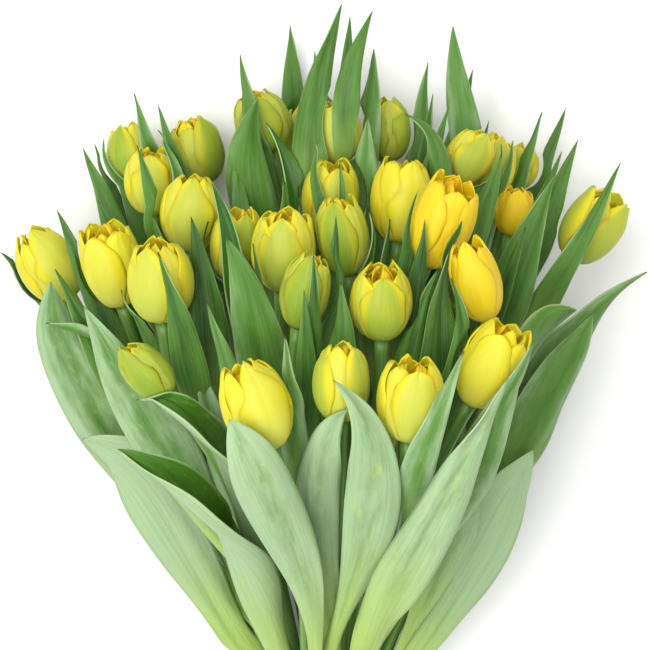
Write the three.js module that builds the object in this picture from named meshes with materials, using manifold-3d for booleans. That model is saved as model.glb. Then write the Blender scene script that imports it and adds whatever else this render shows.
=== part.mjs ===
// A bunch of thirty yellow tulips, tied round its stems and laid down with the heads towards +Y.
// Millimetres, +Z up. The origin lies on the surface, under the middle of the tie.
import * as THREE from 'three';
import { mergeVertices } from 'three/addons/utils/BufferGeometryUtils.js';
import Module from 'manifold-3d';

const wasm = await Module();
wasm.setup();

// Driving sizes
const CUT_END_Y = -75;
const STEM = { width: 6.4, sides: 5, steps: 6, pitch: 7.05, spread: 1.12 };
const NECK_ROWS = [4, 5, 6, 6, 5, 4];
const ROW_RISE = Math.sqrt(0.75);
const TIE = { wide: 6, thick: 1.4, slack: 0.9, corners: 12 };
const PETAL = { thick: 1.1, overlap: 0.05, start: 1 };
const SEAT = { foot: 3.3, wide: 5.6, widestAt: 1.8, tall: 5.4, sides: 6 };
const LEAF = { thick: 1.2, clearance: 1.8, rootY: 14, shortest: 90, perWidth: 2.5, broad: 25, lowest: 1 };
const CLEAR = 0.3;
const TOUCH = 0.01;

// The share of its cup that a broad leaf low in the bunch has, flat under the others
const LOW_CUP = 0.2;

// Shapes, as shares of a length or a radius
const STEM_BEND = { straight: 0.42, start: 0.35, end: 0.3 };
const LEAF_BEND = { upward: 0.4, sunk: 0.2, start: 0.3, outward: 0.08, end: 0.33, openAt: 0.4 };
const LEAF_SHAPE = { sheath: 0.3, sheathEnd: 0.22, broadest: 0.6, blunt: 1.35 };
const LEAF_CURL = { foot: 1.3, middle: 0.7, tip: 0.45, turnFrom: 0.25, turnOver: 0.5 };
const BLOOM_SHAPE = { foot: 0.03, crown: 0.91, opening: 0.3, low: 0.8, full: 0.55 };
const PETAL_SHAPE = { footEnd: 0.2, roundFrom: 0.5, blunt: 2.2 };
const ROOM = { sides: 8, wide: 1.1, tall: 1.04, above: 0.6, push: 1.12, from: -0.1, to: 1.12 };

// The height that the stems fan out from, and how far one bloom is rolled from the next, in degrees
const FAN_HEIGHT = 25;
const ROLL = 9;

const COLOURS = { yellow: '#f0d524', flushed: '#c3d455', leaf: '#7ea35a', tie: '#6f7f3a' };

// The bunch is seen from straight above. A place is given by its picture position, right and down in pixels
// of a 650 pixel square, and by its height in mm. The eye is this high, and this many pixels from the picture.
const VIEW = { centre: 325, pixels: 2420, eye: 1300, across: -2.5, along: 222 };

const ALONG = new THREE.Vector3(0, 1, 0);
const UP = new THREE.Vector3(0, 0, 1);

// Each tulip: the foot and top of its bloom [right, down, height], the girth of the bloom in mm, how far the
// petals open, how green they are (flush), how far it is rolled round its own axis in degrees, and its leaves.
// A leaf has its tip and its width in mm. It can have its tip leant to the right in degrees and its middle
// moved to the right (side) and up (bow) in mm, or two places that its middle passes at a third and two thirds
// of its way (via). It can have a turn round its middle in degrees, a share of its cup (less than nothing cups
// it the other way), the share of its length at which it is broadest, how blunt its tip is, the share of its
// width that its sheath has, and the distance along the bunch at which it leaves the stem (root).
const TULIPS = [
  {
    foot: [70, 297, 48], top: [25, 230, 62], girth: 31, open: 0.1, roll: 60,
    leaves: [
      { tip: [0, 252, 50], wide: 24, lean: -20 },
      {
        tip: [82, 439, 84], wide: 34, via: [[218, 612, 47], [163, 511, 72]],
        broadest: 0.7, blunt: 2.5, root: 45, sheath: 0.55,
      },
      { tip: [58, 345, 4], wide: 28, cup: LOW_CUP, root: 60 },
    ],
  },
  {
    foot: [122, 304, 70], top: [100, 222, 88], girth: 31, open: 0.3, roll: -15,
    leaves: [
      { tip: [57, 210, 75], wide: 16 },
      { tip: [55, 269, 95], wide: 22 },
      { tip: [51, 281, 92], wide: 36, via: [[170, 515, 48], [87, 393, 70]], blunt: 2 },
      { tip: [46, 323, 98], wide: 15, via: [[168, 415, 70], [108, 347, 94]], turn: -80, cup: 1.6 },
    ],
  },
  {
    foot: [162, 320, 104], top: [157, 238, 118], girth: 34, open: 0.05, flush: 0.6, roll: -25,
    leaves: [
      { tip: [158, 252, 135], wide: 18 },
      { tip: [124, 290, 104], wide: 12 },
      { tip: [191, 216, 105], wide: 20 },
      { tip: [191, 352, 112], wide: 18 },
    ],
  },
  {
    foot: [189, 249, 66], top: [194, 172, 80], girth: 31.5, open: 0.1, flush: 0.4,
    leaves: [
      { tip: [158, 130, 60], wide: 13, side: 2 },
      { tip: [152, 214, 80], wide: 12 },
    ],
  },
  {
    foot: [153, 213, 44], top: [150, 146, 54], girth: 28, open: 0.1,
    leaves: [
      { tip: [137, 145, 80], wide: 13 },
      { tip: [83, 148, 45], wide: 16 },
    ],
  },
  {
    foot: [136, 184, 24], top: [126, 122, 30], girth: 27, open: 0.1, flush: 0.5,
    leaves: [
      { tip: [134, 93, 28], wide: 14 },
      { tip: [107, 136, 35], wide: 11 },
      { tip: [94, 143, 30], wide: 10 },
      { tip: [98, 250, 3], wide: 30, cup: LOW_CUP, root: 70 },
    ],
  },
  {
    foot: [203, 184, 22], top: [188, 116, 30], girth: 30, open: 0.1, flush: 0.4,
    leaves: [
      { tip: [158, 104, 30], wide: 10 },
      { tip: [231, 156, 45], wide: 9 },
      { tip: [98, 200, 60], wide: 9 },
      { tip: [178, 200, 3], wide: 28, cup: LOW_CUP, root: 80 },
      { tip: [226, 205, 3], wide: 28, cup: LOW_CUP, root: 100 },
    ],
  },
  {
    foot: [234, 279, 80], top: [241, 204, 93], girth: 27, open: 0.1, flush: 0.6,
    leaves: [
      { tip: [211, 220, 85], wide: 10 },
      { tip: [234, 145, 60], wide: 12 },
      { tip: [285, 181, 90], wide: 14 },
      { tip: [211, 182, 104], wide: 13, via: [[243, 352, 80], [233, 262, 104]], cup: -1.3 },
    ],
  },
  {
    foot: [281, 289, 96], top: [286, 206, 112], girth: 32, open: 0.15, flush: 0.5,
    leaves: [
      { tip: [283, 179, 95], wide: 12 },
      { tip: [253, 243, 118], wide: 7 },
    ],
  },
  {
    foot: [272, 150, 34], top: [252, 90, 42], girth: 29, open: 0.1, flush: 0.7,
    leaves: [
      { tip: [240, 54, 40], wide: 12 },
      { tip: [258, 98, 56], wide: 26, lean: 20, side: -3, blunt: 2.4 },
      { tip: [290, 25, 10], wide: 15 },
      { tip: [266, 123, 60], wide: 14, via: [[310, 290, 54], [298, 198, 60]], cup: -1.3 },
    ],
  },
  {
    foot: [312, 165, 17], top: [305, 100, 20], girth: 27, open: 0.05, flush: 0.7,
    leaves: [
      { tip: [350, 15, 20], wide: 10 },
      { tip: [315, 50, 22], wide: 10 },
      { tip: [275, 195, 3], wide: 28, cup: LOW_CUP, root: 80 },
      { tip: [325, 190, 3], wide: 26, cup: LOW_CUP, root: 100 },
    ],
  },
  {
    foot: [338, 165, 44], top: [335, 97, 50], girth: 26, open: 0.1,
    leaves: [
      { tip: [342, 4, 62], wide: 20, via: [[311, 208, 56], [316, 102, 60]], broadest: 0.5 },
      { tip: [373, 10, 36], wide: 15, via: [[346, 168, 28], [351, 78, 31]] },
    ],
  },
  {
    foot: [330, 235, 62], top: [333, 156, 74], girth: 30, open: 0.1, flush: 0.4,
    leaves: [{ tip: [374, 49, 50], wide: 20 }],
  },
  {
    foot: [348, 274, 94], top: [336, 193, 106], girth: 26, open: 0.1, flush: 0.3,
    leaves: [
      { tip: [340, 159, 85], wide: 8 },
      { tip: [319, 139, 80], wide: 10 },
      { tip: [366, 213, 105], wide: 9 },
    ],
  },
  {
    foot: [388, 161, 26], top: [385, 95, 32], girth: 25, open: 0.05, flush: 0.8,
    leaves: [
      { tip: [428, 62, 25], wide: 12 },
      { tip: [433, 94, 28], wide: 9 },
      { tip: [392, 190, 3], wide: 26, cup: LOW_CUP, root: 110 },
    ],
  },
  {
    foot: [298, 327, 124], top: [313, 251, 136], girth: 24, open: 0.1, flush: 0.4,
    leaves: [
      { tip: [313, 250, 152], wide: 10 },
      { tip: [336, 216, 135], wide: 11 },
      { tip: [225, 237, 140], wide: 28, via: [[276, 472, 95], [262, 356, 126]], blunt: 1.8 },
      { tip: [304, 289, 150], wide: 13 },
    ],
  },
  {
    foot: [381, 338, 132], top: [382, 262, 146], girth: 30, open: 0.1, flush: 0.6, roll: 3,
    leaves: [
      { tip: [341, 281, 150], wide: 24, side: 1.5 },
      { tip: [427, 219, 130], wide: 12 },
      { tip: [438, 269, 140], wide: 14, lean: 15 },
    ],
  },
  {
    foot: [398, 240, 72], top: [405, 155, 84], girth: 31, open: 0.25,
    leaves: [
      { tip: [368, 117, 70], wide: 26 },
      { tip: [405, 114, 68], wide: 18, via: [[404, 275, 64], [438, 180, 76]] },
      { tip: [390, 219, 105], wide: 11 },
    ],
  },
  {
    foot: [425, 265, 108], top: [460, 175, 122], girth: 31, open: 0.3,
    leaves: [
      { tip: [502, 153, 90], wide: 18 },
      { tip: [479, 208, 105], wide: 9 },
      { tip: [420, 190, 125], wide: 10 },
    ],
  },
  {
    foot: [487, 319, 130], top: [464, 238, 144], girth: 24, open: 0.1,
    leaves: [
      { tip: [450, 249, 150], wide: 22 },
      {
        tip: [533, 450, 96], wide: 30, via: [[427, 640, 54], [480, 553, 80]],
        broadest: 0.76, blunt: 3, sheath: 0.6,
      },
      { tip: [499, 389, 104], wide: 28, side: 5, bow: -3 },
      { tip: [462, 222, 140], wide: 16 },
    ],
  },
  {
    foot: [455, 180, 58], top: [485, 132, 64], girth: 24, open: 0.2, flush: 0.5,
    leaves: [
      { tip: [453, 25, 44], wide: 18, via: [[462, 205, 44], [463, 112, 46]] },
      { tip: [448, 107, 56], wide: 11, side: -2, bow: 1 },
      { tip: [473, 69, 20], wide: 10 },
    ],
  },
  {
    foot: [484, 198, 34], top: [500, 134, 41], girth: 26, open: 0.1, flush: 0.4,
    leaves: [
      { tip: [490, 138, 62], wide: 11 },
      { tip: [513, 140, 50], wide: 11 },
      { tip: [489, 120, 25], wide: 7 },
    ],
  },
  {
    foot: [514, 188, 16], top: [526, 143, 20], girth: 20, open: 0.05,
    leaves: [
      { tip: [542, 112, 35], wide: 11 },
      { tip: [566, 108, 22], wide: 11 },
      { tip: [562, 151, 30], wide: 9 },
      { tip: [458, 205, 3], wide: 28, cup: LOW_CUP, root: 100 },
      { tip: [532, 240, 3], wide: 28, cup: LOW_CUP, root: 75 },
    ],
  },
  {
    foot: [510, 234, 60], top: [519, 186, 68], girth: 20, open: 0.05,
    leaves: [
      { tip: [554, 176, 95], wide: 26 },
      { tip: [526, 226, 110], wide: 12 },
      { tip: [578, 140, 60], wide: 15 },
    ],
  },
  {
    foot: [570, 258, 60], top: [616, 193, 70], girth: 30, open: 0.3, flush: 0.5,
    leaves: [
      { tip: [621, 162, 80], wide: 18 },
      {
        tip: [647, 272, 70], wide: 32, via: [[500, 466, 52], [568, 352, 66]],
        turn: 35, cup: 1.3, blunt: 1.6,
      },
      { tip: [594, 313, 90], wide: 32, via: [[488, 502, 68], [546, 404, 86]], turn: 35, blunt: 1.7 },
      { tip: [590, 330, 4], wide: 28, cup: LOW_CUP, root: 60 },
    ],
  },
  {
    foot: [272, 447, 165], top: [240, 360, 178], girth: 33, open: 0.1, flush: 0.3, roll: 30,
    leaves: [
      { tip: [229, 419, 194], wide: 28, via: [[313, 624, 112], [281, 521, 172]], broadest: 0.7, blunt: 3 },
      { tip: [285, 335, 165], wide: 14 },
      { tip: [207, 302, 150], wide: 12 },
    ],
  },
  {
    foot: [341, 420, 158], top: [341, 343, 168], girth: 27, open: 0.15, flush: 0.5, roll: 50,
    leaves: [
      { tip: [333, 380, 194], wide: 28, via: [[347, 600, 118], [373, 488, 172]], blunt: 2.2, root: 40 },
      {
        tip: [347, 408, 174], wide: 22, via: [[328, 600, 104], [317, 494, 150]],
        blunt: 2.6, root: 30, sheath: 0.5,
      },
    ],
  },
  {
    foot: [408, 440, 168], top: [415, 353, 180], girth: 32, open: 0.15, flush: 0.35, roll: 8,
    leaves: [
      { tip: [464, 351, 190], wide: 17, via: [[392, 552, 126], [423, 456, 180]] },
    ],
  },
  {
    foot: [470, 403, 150], top: [515, 322, 164], girth: 30, open: 0.3, roll: -40,
    leaves: [
      {
        tip: [508, 378, 188], wide: 27, via: [[386, 608, 130], [448, 495, 177]],
        broadest: 0.42, blunt: 1.7, sheath: 0.7,
      },
      { tip: [532, 340, 172], wide: 24 },
      { tip: [451, 278, 160], wide: 15, via: [[424, 474, 123], [456, 378, 148]] },
      {
        tip: [576, 309, 128], wide: 34, via: [[460, 508, 122], [522, 374, 122]],
        turn: 80, cup: 1.7, broadest: 0.8, blunt: 2,
      },
    ],
  },
  {
    foot: [168, 395, 130], top: [122, 345, 138], girth: 22, open: 0, flush: 0.7,
    leaves: [
      {
        tip: [117, 449, 134], wide: 46, via: [[266, 632, 80], [208, 524, 120]],
        turn: -102, cup: 2.1, sheath: 0.5,
      },
      { tip: [142, 394, 136], wide: 40, via: [[262, 577, 84], [212, 454, 128]], turn: -102, cup: 2.1 },
      { tip: [84, 306, 116], wide: 30, blunt: 1.8 },
    ],
  },
];

// A place in mm from a picture position and a height
function seen([right, down, height]) {
  const perPixel = (VIEW.eye - height) / VIEW.pixels;
  return new THREE.Vector3(
    VIEW.across + (right - VIEW.centre) * perPixel,
    VIEW.along + (VIEW.centre - down) * perPixel,
    height,
  );
}

// A solid for joins and cuts, from a closed geometry
function toSolid(geometry) {
  const bare = geometry.clone();
  bare.deleteAttribute('normal');
  bare.deleteAttribute('uv');
  const merged = mergeVertices(bare, 1e-4);
  const vertProperties = new Float32Array(merged.attributes.position.array);
  const triVerts = new Uint32Array(merged.index.array);
  return new wasm.Manifold(new wasm.Mesh({ numProp: 3, vertProperties, triVerts }));
}

// The geometry of a solid, ready for a mesh
function toGeometry(solid) {
  const { vertProperties, triVerts } = solid.getMesh();
  const geometry = new THREE.BufferGeometry();
  geometry.setAttribute('position', new THREE.BufferAttribute(new Float32Array(vertProperties), 3));
  geometry.setIndex(new THREE.BufferAttribute(new Uint32Array(triVerts), 1));
  geometry.computeVertexNormals();
  return geometry;
}

// The largest body of a solid: sealed hollows are filled, and loose scraps and the finest edges dropped
function wholeBody(solid) {
  const larger = (one, two) => (two.volume() > one.volume() ? two : one);
  return solid.decompose().reduce(larger).simplify(TOUCH);
}

// Joins a list of solids into one body
function fuse(solids) {
  return wholeBody(solids.reduce((sum, solid) => sum.add(solid)));
}

function middleNormal(rows, i, j) {
  const up = rows[Math.min(i + 1, rows.length - 1)][j].clone().sub(rows[Math.max(i - 1, 0)][j]);
  const across = rows[i][Math.min(j + 1, rows[i].length - 1)].clone().sub(rows[i][Math.max(j - 1, 0)]);
  return up.cross(across).normalize();
}

// A thin blade whose two faces meet at its edges, from rows of points across it. The last row may be one point.
function blade(rows, thick) {
  const lastRow = rows.length - 1;
  const lastColumn = rows[0].length - 1;
  const positions = [];
  const front = [];
  const back = [];
  rows.forEach((row, i) => {
    front.push([]);
    back.push([]);
    row.forEach((point, j) => {
      const edge = i === 0 || i === lastRow || j === 0 || j === lastColumn;
      const offset = edge ? new THREE.Vector3() : middleNormal(rows, i, j).multiplyScalar(thick / 2);
      front[i].push(positions.push(point.clone().add(offset)) - 1);
      back[i].push(edge ? front[i][j] : positions.push(point.clone().sub(offset)) - 1);
    });
  });
  const triangles = [];
  for (let i = 0; i < lastRow; i += 1) {
    for (let j = 0; j < lastColumn; j += 1) {
      const near = j < lastColumn / 2 ? 0 : 1;
      for (const [side, flip] of [[front, false], [back, true]]) {
        const corners = [side[i][j], side[i + 1][j], side[i + 1][j + 1], side[i][j + 1]];
        const [a, b, c, d] = near ? corners : [corners[1], corners[2], corners[3], corners[0]];
        for (const triangle of [[a, b, c], [a, c, d]]) {
          triangles.push(...(flip ? triangle.reverse() : triangle));
        }
      }
    }
  }
  const geometry = new THREE.BufferGeometry().setFromPoints(positions);
  geometry.setIndex(triangles);
  return toSolid(withoutSlivers(geometry));
}

// Drops the triangles that have no area once points that lie together are one, and faces the rest outwards
function withoutSlivers(geometry) {
  const merged = mergeVertices(geometry, 1e-4);
  const index = merged.index.array;
  const kept = [];
  for (let k = 0; k < index.length; k += 3) {
    const [a, b, c] = [index[k], index[k + 1], index[k + 2]];
    if (a !== b && b !== c && c !== a) {
      kept.push(a, b, c);
    }
  }
  merged.setIndex(signedVolume(merged, kept) < 0 ? kept.reverse() : kept);
  return merged;
}

function signedVolume(geometry, index) {
  const at = (k) => new THREE.Vector3().fromBufferAttribute(geometry.attributes.position, index[k]);
  let six = 0;
  for (let k = 0; k < index.length; k += 3) {
    six += at(k).dot(at(k + 1).cross(at(k + 2)));
  }
  return six;
}

// Where each stem passes the tie: rows of stems packed close, the lowest row first
function neckSites() {
  const lowest = STEM.width / 2 + TIE.slack + TIE.thick;
  return NECK_ROWS.map((count, row) => Array.from({ length: count }, (_, k) => ({
    x: (k - (count - 1) / 2) * STEM.pitch,
    z: lowest + row * STEM.pitch * ROW_RISE,
  })));
}

// Gives each tulip its place in the neck, so that the stems fan out without crossing
function placeInNeck(tulips) {
  const climb = (tulip) => (tulip.base.z - FAN_HEIGHT) / tulip.base.y;
  const sideways = (tulip) => tulip.base.x / tulip.base.y;
  const byClimb = [...tulips].sort((one, two) => climb(one) - climb(two));
  for (const row of neckSites()) {
    const members = byClimb.splice(0, row.length).sort((one, two) => sideways(one) - sideways(two));
    members.forEach((tulip, k) => {
      tulip.neck = row[k];
    });
  }
}

// The points of a stem's centre line, from its cut end to the base of its bloom
function stemLine(tulip) {
  const { x, z } = tulip.neck;
  const cut = new THREE.Vector3(x * STEM.spread, CUT_END_Y, z);
  const tied = new THREE.Vector3(x, 0, z);
  const end = tulip.base.clone();
  const span = end.distanceTo(tied);
  const away = end.clone().sub(tied).normalize().lerp(ALONG, STEM_BEND.straight).normalize();
  const rise = new THREE.CubicBezierCurve3(
    tied,
    tied.clone().addScaledVector(away, span * STEM_BEND.start),
    end.clone().addScaledVector(tulip.axis, -span * STEM_BEND.end),
    end,
  );
  return [cut, ...rise.getSpacedPoints(STEM.steps - 1)];
}

// The place and direction on a centre line at a distance along the bunch
function onLine(points, y) {
  const last = points.findIndex((point, k) => k > 0 && (point.y >= y || k === points.length - 1));
  const [from, to] = [points[last - 1], points[last]];
  const share = (y - from.y) / (to.y - from.y);
  return { place: from.clone().lerp(to, share), ahead: to.clone().sub(from).normalize() };
}

function roundOutline(radius, sides) {
  const corner = (k) => {
    const turn = ((k + 0.5) / sides) * 2 * Math.PI;
    return new THREE.Vector2(radius * Math.cos(turn), radius * Math.sin(turn));
  };
  return new THREE.Shape(Array.from({ length: sides }, (_, k) => corner(k)));
}

// A smooth path that keeps to its own points when it is divided into steps
class StemPath extends THREE.CatmullRomCurve3 {
  getUtoTmapping(u) {
    return u;
  }
}

function stemSolid(points) {
  const path = new StemPath(points);
  const outline = roundOutline(STEM.width / 2, STEM.sides);
  const options = { steps: STEM.steps, extrudePath: path, bevelEnabled: false };
  return toSolid(new THREE.ExtrudeGeometry(outline, options));
}

// The outline of a band of flat runs laid round all the stems, at a distance from their centres
function bandOutline(sites, distance) {
  const step = (2 * Math.PI) / TIE.corners;
  const reach = (k) => Math.max(...sites.map(({ x, z }) => x * Math.cos(k * step) + z * Math.sin(k * step)));
  const centre = new THREE.Vector2();
  return Array.from({ length: TIE.corners }, (_, k) => {
    const run = reach(k) + distance;
    const corner = (reach(k + 1) + distance - run * Math.cos(step)) / Math.sin(step);
    return new THREE.Vector2(run, corner).rotateAround(centre, k * step);
  });
}

// The elastic band that ties the bunch, with a flat run on the surface
function tieGeometry(tulips) {
  const edges = [-TIE.wide / 2, TIE.wide / 2];
  const sites = tulips.flatMap(({ line }) => edges.map((y) => onLine(line, y).place));
  const inner = STEM.width / 2 + TIE.slack;
  const outline = new THREE.Shape(bandOutline(sites, inner + TIE.thick));
  outline.holes.push(new THREE.Path(bandOutline(sites, inner).reverse()));
  return new THREE.ExtrudeGeometry(outline, { depth: TIE.wide, bevelEnabled: false })
    .rotateX(Math.PI / 2)
    .translate(0, TIE.wide / 2, 0);
}

function smooth(share) {
  const s = Math.min(Math.max(share, 0), 1);
  return s * s * (3 - 2 * s);
}

// How far a petal stands from the bloom's axis, as a share of the bloom's radius, at a share of its height
function bulge(t, open) {
  const { foot, crown, opening, low, full } = BLOOM_SHAPE;
  return Math.sin(Math.PI * (foot + (crown - opening * open) * t ** low)) ** full;
}

// How much of a petal's full span is left at a share of its height: a point at its foot, round at its tip
function petalTaper(t) {
  const { footEnd, roundFrom, blunt } = PETAL_SHAPE;
  return smooth(t / footEnd) * Math.sqrt(1 - (Math.max(t - roundFrom, 0) / (1 - roundFrom)) ** blunt);
}

const OUTER_RING = {
  size: 1, turn: Math.PI / 6, halfSpan: 1.15, tall: 1, heights: [0, 0.2, 0.5, 0.8, 1], columns: 3,
};
const INNER_RING = {
  size: 0.76, turn: Math.PI / 2, halfSpan: 0.95, tall: 1.03, heights: [0, 0.55, 1], columns: 2,
};

// One petal in the bloom's own frame: foot at the origin, axis along +Z
function petal(bloom, ring, k) {
  const middle = ring.turn + (k * 2 * Math.PI) / 3;
  const rows = ring.heights.map((t) => Array.from({ length: ring.columns + 1 }, (_, j) => {
    const share = ((2 * j) / ring.columns - 1) * petalTaper(t);
    const angle = middle + share * ring.halfSpan;
    const out = bloom.radius * ring.size * bulge(t, bloom.open) * (1 + PETAL.overlap * share);
    const up = PETAL.start + t * bloom.height * ring.tall;
    return new THREE.Vector3(out * Math.cos(angle), out * Math.sin(angle), up);
  }));
  return blade(rows, PETAL.thick);
}

// The solid of revolution of a profile of [radius, height] points
function turned(profile, sides) {
  return toSolid(new THREE.LatheGeometry(profile.map(([r, z]) => new THREE.Vector2(r, z)), sides)
    .rotateX(Math.PI / 2));
}

// The seat that the petals grow from, at the head of the stem
function petalSeat() {
  return turned([[0, 0], [SEAT.foot, 0], [SEAT.wide, SEAT.widestAt], [0, SEAT.tall]], SEAT.sides);
}

function placeBloom(bloom, solid) {
  const turn = new THREE.Quaternion().setFromUnitVectors(UP, bloom.axis);
  const roll = new THREE.Quaternion().setFromAxisAngle(UP, bloom.roll);
  const matrix = new THREE.Matrix4().compose(bloom.base, turn.multiply(roll), new THREE.Vector3(1, 1, 1));
  return solid.transform(matrix.elements);
}

function bloomSolid(bloom) {
  const petals = [OUTER_RING, INNER_RING].flatMap((ring) => [0, 1, 2].map((k) => petal(bloom, ring, k)));
  return placeBloom(bloom, fuse([petalSeat(), ...petals]));
}

// The room that a bloom takes, a little more than its petals
function bloomRoom(bloom, gap) {
  const corner = (bloom.radius * ROOM.wide) / Math.cos(Math.PI / ROOM.sides);
  const wide = (t) => Math.max(corner * bulge(t, bloom.open), SEAT.foot + ROOM.above) + gap;
  const tall = bloom.height * ROOM.tall + ROOM.above + gap;
  const profile = [0, 0.15, 0.4, 0.7, 1].map((t) => [wide(t), -gap + t * (tall + gap)]);
  return placeBloom(bloom, turned([[0, -gap], ...profile, [0, tall]], ROOM.sides));
}

// Moves a point of a leaf out of the room of the blooms, straight away from their axes
function clearOfBlooms(point, blooms, gap) {
  for (const bloom of blooms) {
    const offset = point.clone().sub(bloom.base);
    const along = offset.dot(bloom.axis);
    const t = along / (bloom.height * ROOM.tall);
    if (t > ROOM.from && t < ROOM.to) {
      const out = offset.addScaledVector(bloom.axis, -along);
      const needed = bloom.radius * ROOM.push * bulge(Math.min(Math.max(t, 0), 1), bloom.open) + gap;
      if (out.length() < needed) {
        point.addScaledVector(out.clone().normalize(), needed - out.length());
      }
    }
  }
  return point;
}

// The half width of a leaf at a share of its length: a narrow sheath, a broad middle and a pointed tip
function leafHalfWidth(t, leaf) {
  const { sheath, sheathEnd, broadest, blunt } = { ...LEAF_SHAPE, ...leaf };
  const swell = sheath + (1 - sheath) * smooth((t - sheathEnd) / (broadest - sheathEnd));
  const point = 1 - (Math.max(t - broadest, 0) / (1 - broadest)) ** blunt;
  return (leaf.wide / 2) * (t < broadest ? swell : point);
}

// How far a leaf curls round its middle, in radians to each side: it clasps the stem and opens out
function leafCup(t) {
  const { foot, middle, tip } = LEAF_CURL;
  const { openAt } = LEAF_BEND;
  return t < openAt
    ? THREE.MathUtils.lerp(foot, middle, t / openAt)
    : THREE.MathUtils.lerp(middle, tip, (t - openAt) / (1 - openAt));
}

// The unit part of a direction that is square to a tangent
function squareTo(tangent, direction) {
  return direction.clone().addScaledVector(tangent, -direction.dot(tangent)).normalize();
}

// The cubic curve that passes two places at a third and two thirds of its way
function curveThrough(start, third, twoThirds, end) {
  const weighed = (a, b, c, d) => new THREE.Vector3()
    .addScaledVector(start, a / 6)
    .addScaledVector(third, b / 6)
    .addScaledVector(twoThirds, c / 6)
    .addScaledVector(end, d / 6);
  return new THREE.CubicBezierCurve3(start, weighed(-5, 18, -9, 2), weighed(2, -9, 18, -5), end);
}

// The curve of a leaf's middle, from its foot to its tip
function leafMiddle(leaf, foot, ahead, outward) {
  const tip = seen(leaf.tip);
  if (leaf.via) {
    return curveThrough(foot, ...leaf.via.map(seen), tip);
  }
  const span = foot.distanceTo(tip);
  const lean = THREE.MathUtils.degToRad(-(leaf.lean ?? 0));
  const away = new THREE.Vector3(tip.x, tip.y, 0).normalize().applyAxisAngle(UP, lean);
  const bent = new THREE.Vector3(leaf.side ?? 0, 0, leaf.bow ?? 0).multiplyScalar(4 / 3);
  return new THREE.CubicBezierCurve3(
    foot,
    foot.clone()
      .addScaledVector(ahead, span * LEAF_BEND.start)
      .addScaledVector(outward, span * LEAF_BEND.outward)
      .add(bent),
    tip.clone().addScaledVector(away, -span * LEAF_BEND.end).add(bent),
    tip,
  );
}

// Rows of points across a leaf, from its foot on the stem to its tip
function leafRows(leaf, line, blooms) {
  const tip = seen(leaf.tip);
  const rootY = leaf.root ?? Math.max(LEAF.rootY, tip.y - LEAF.shortest - LEAF.perWidth * leaf.wide);
  const { place, ahead } = onLine(line, rootY);
  const upward = squareTo(ahead, UP).multiplyScalar(LEAF_BEND.upward);
  const outward = squareTo(ahead, tip.clone().sub(place)).add(upward).normalize();
  const normalAt = (tangent, t) => {
    const open = outward.clone().lerp(squareTo(tangent, UP), smooth(t / LEAF_BEND.openAt));
    const turned = (leaf.turn ?? 0) * smooth((t - LEAF_CURL.turnFrom) / LEAF_CURL.turnOver);
    return squareTo(tangent, open).applyAxisAngle(tangent, THREE.MathUtils.degToRad(turned));
  };
  const foot = place.addScaledVector(outward, STEM.width * LEAF_BEND.sunk);
  const middle = leafMiddle(leaf, foot, ahead, outward);
  const broad = leaf.wide > LEAF.broad && leaf.cup !== LOW_CUP;
  const columns = broad ? 4 : 2;
  const rows = broad ? 6 : 5;
  return Array.from({ length: rows + 1 }, (_, i) => {
    const t = i / rows;
    const centre = middle.getPoint(t);
    const tangent = middle.getTangent(t);
    const normal = normalAt(tangent, t);
    const side = new THREE.Vector3().crossVectors(tangent, normal);
    const half = i === 0 || i === rows ? 0 : leafHalfWidth(t, leaf);
    const cup = leafCup(t) * (leaf.cup ?? 1);
    return Array.from({ length: columns + 1 }, (_, j) => {
      const u = (2 * j) / columns - 1;
      const point = centre.clone()
        .addScaledVector(side, (Math.sin(u * cup) / cup) * half)
        .addScaledVector(normal, -((1 - Math.cos(u * cup)) / cup) * half);
      clearOfBlooms(point, blooms, LEAF.clearance);
      point.z = Math.max(point.z, LEAF.lowest);
      return point;
    });
  });
}

function leafyStem(tulip, blooms) {
  const leaves = tulip.leaves.map((leaf) => blade(leafRows(leaf, tulip.line, blooms), LEAF.thick));
  return [stemSolid(tulip.line), ...leaves];
}

// Groups of the solids that cross each other, as lists of their numbers
function crossingGroups(solids) {
  const group = solids.map((_, k) => k);
  solids.forEach((one, i) => solids.slice(0, i).forEach((two, j) => {
    if (group[i] !== group[j] && one.intersect(two).volume() > TOUCH ** 2) {
      const [from, to] = [group[i], group[j]];
      group.forEach((value, k) => {
        group[k] = value === from ? to : value;
      });
    }
  }));
  return [...new Set(group)].map((value) => group.flatMap((own, k) => (own === value ? [k] : [])));
}

// The roll in degrees of a bloom whose petals don't show which way it faces
function chanceRoll(k) {
  return (((k * 7) % 5) - 2) * ROLL + (k % 4 === 2 ? 60 : 0);
}

function prepare(tulips) {
  const ready = tulips.map((tulip, k) => {
    const base = seen(tulip.foot);
    const reach = seen(tulip.top).sub(base);
    return {
      ...tulip,
      base,
      height: reach.length(),
      axis: reach.normalize(),
      radius: tulip.girth / 2,
      roll: THREE.MathUtils.degToRad(tulip.roll ?? chanceRoll(k)),
      flush: tulip.flush ?? 0.15,
    };
  });
  placeInNeck(ready);
  for (const tulip of ready) {
    tulip.line = stemLine(tulip);
  }
  return ready;
}

function finish(name, geometry, color, roughness) {
  const mesh = new THREE.Mesh(geometry, new THREE.MeshStandardMaterial({ color, roughness, metalness: 0 }));
  mesh.name = name;
  return mesh;
}

function numbered(name, k) {
  return `${name}_${String(k + 1).padStart(2, '0')}`;
}

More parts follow.
